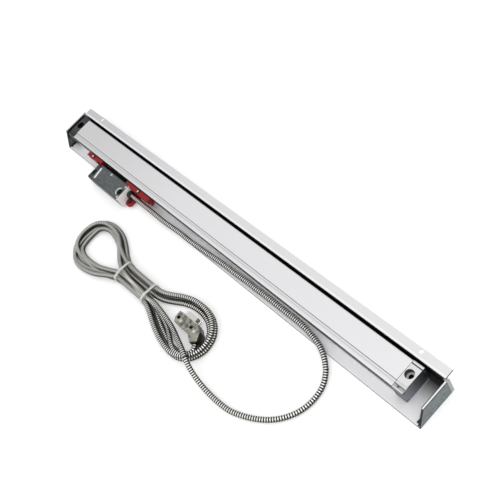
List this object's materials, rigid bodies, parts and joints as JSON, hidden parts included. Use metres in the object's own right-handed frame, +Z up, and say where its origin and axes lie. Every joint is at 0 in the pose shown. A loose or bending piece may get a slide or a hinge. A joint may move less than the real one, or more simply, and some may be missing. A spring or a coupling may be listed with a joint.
{
  "type": "linear glass scale",
  "caption": "Sealed linear glass scale with sliding reading head, armoured cable and plug, lying in its open guard cover.",
  "frame": {"origin": "middle of the cover's underside, where it stands on the floor", "axes": "+X along the scale towards the end the head travels to, +Y towards the cover's wall and flange, +Z up"},
  "size_m": [0.729, 0.1923, 0.0283],
  "materials": {
    "anodised_sheet": "pale anodised sheet",
    "cap_plastic": "finely textured grey moulding",
    "anodised_profile": "satin anodised extrusion",
    "cast_block": "milled, satin",
    "black_rubber": "matt black",
    "steel": "bright zinc or ground",
    "dark_steel": "blackened",
    "glass": "clear, with a chrome grating",
    "adhesive": "elastic adhesive",
    "head_grey": "dark grey, brushed top",
    "board_green": "coated circuit board",
    "black_plastic": "moulded",
    "red_plastic": "moulded",
    "armour": "wound stainless strip",
    "tie_nylon": "natural nylon",
    "hood_metal": "metallised plastic",
    "tin_plate": "tinned",
    "contact_gold": "gold plated"
  },
  "bodies": {
    "cover": {"cover_profile": "anodised_sheet", "cover_cap_far": "cap_plastic", "cover_cap_near": "cap_plastic"},
    "scale": {"housing": "anodised_profile", "end_block_far": "cast_block", "end_block_near": "cast_block", "end_gaskets": "black_rubber", "end_block_screws": "steel", "seal_clamps": "steel", "seal_screws": "dark_steel", "lip_seal_upper": "black_rubber", "lip_seal_lower": "black_rubber", "glass_scale": "glass", "glass_cushion": "adhesive", "cable_run": "armour", "cable_hank": "armour", "cable_tie_left": "tie_nylon", "cable_tie_right": "tie_nylon", "plug_hood_bottom": "hood_metal", "plug_hood_top": "hood_metal", "plug_hood_screws": "steel", "plug_shell": "tin_plate", "plug_insert": "black_plastic", "plug_pins": "contact_gold"},
    "head": {"head_casting": "head_grey", "head_lid": "head_grey", "head_gasket": "black_rubber", "head_lid_screws": "steel", "signal_board": "board_green", "cable_gland": "black_plastic", "gland_nut": "black_plastic", "guide_blade": "steel", "coupling_spring": "steel", "carriage_frame": "head_grey", "led_board": "board_green", "detector_board": "board_green", "roller_axles": "steel", "bracket_left": "red_plastic", "bracket_right": "red_plastic", "bracket_screws": "steel"},
    "roller_face_1": {"roller_face_1": "steel"},
    "roller_face_2": {"roller_face_2": "steel"},
    "roller_face_3": {"roller_face_3": "steel"},
    "roller_edge_1": {"roller_edge_1": "steel"},
    "roller_edge_2": {"roller_edge_2": "steel"},
    "jackscrew_left": {"jackscrew_left": "steel"},
    "jackscrew_right": {"jackscrew_right": "steel"}
  },
  "joints": [
    {"name": "scale_lift_out", "type": "slide", "parent": "cover", "child": "scale", "axis": [0, -1, 0], "range_m": [0, 0.07]},
    {"name": "head_travel", "type": "slide", "parent": "scale", "child": "head", "axis": [1, 0, 0], "range_m": [-0.06, 0.49], "deforming": ["cable_run"]},
    {"name": "face_roller_1_spin", "type": "hinge", "parent": "head", "child": "roller_face_1", "pos_m": [-0.2415, 0.0002, 0.0206], "axis": [0, 1, 0], "continuous": true},
    {"name": "face_roller_2_spin", "type": "hinge", "parent": "head", "child": "roller_face_2", "pos_m": [-0.2145, 0.0072, 0.0206], "axis": [0, 1, 0], "continuous": true},
    {"name": "face_roller_3_spin", "type": "hinge", "parent": "head", "child": "roller_face_3", "pos_m": [-0.1875, 0.0002, 0.0206], "axis": [0, 1, 0], "continuous": true},
    {"name": "edge_roller_1_spin", "type": "hinge", "parent": "head", "child": "roller_edge_1", "pos_m": [-0.2415, -0.0069, 0.0145], "axis": [0, 0, 1], "continuous": true},
    {"name": "edge_roller_2_spin", "type": "hinge", "parent": "head", "child": "roller_edge_2", "pos_m": [-0.1875, -0.0069, 0.0145], "axis": [0, 0, 1], "continuous": true},
    {"name": "jackscrew_left_turn", "type": "hinge", "parent": "scale", "child": "jackscrew_left", "pos_m": [0.04351, -0.10694, 0.008], "axis": [-0.0349, 0.9994, 0], "continuous": true},
    {"name": "jackscrew_right_turn", "type": "hinge", "parent": "scale", "child": "jackscrew_right", "pos_m": [0.06849, -0.10606, 0.008], "axis": [-0.0349, 0.9994, 0], "continuous": true}
  ],
  "couplings": [
    {"joint": "face_roller_1_spin", "follows": "head_travel", "rad_per_m": 250},
    {"joint": "face_roller_2_spin", "follows": "head_travel", "rad_per_m": 250},
    {"joint": "face_roller_3_spin", "follows": "head_travel", "rad_per_m": 250},
    {"joint": "edge_roller_1_spin", "follows": "head_travel", "rad_per_m": 250},
    {"joint": "edge_roller_2_spin", "follows": "head_travel", "rad_per_m": 250}
  ]
}
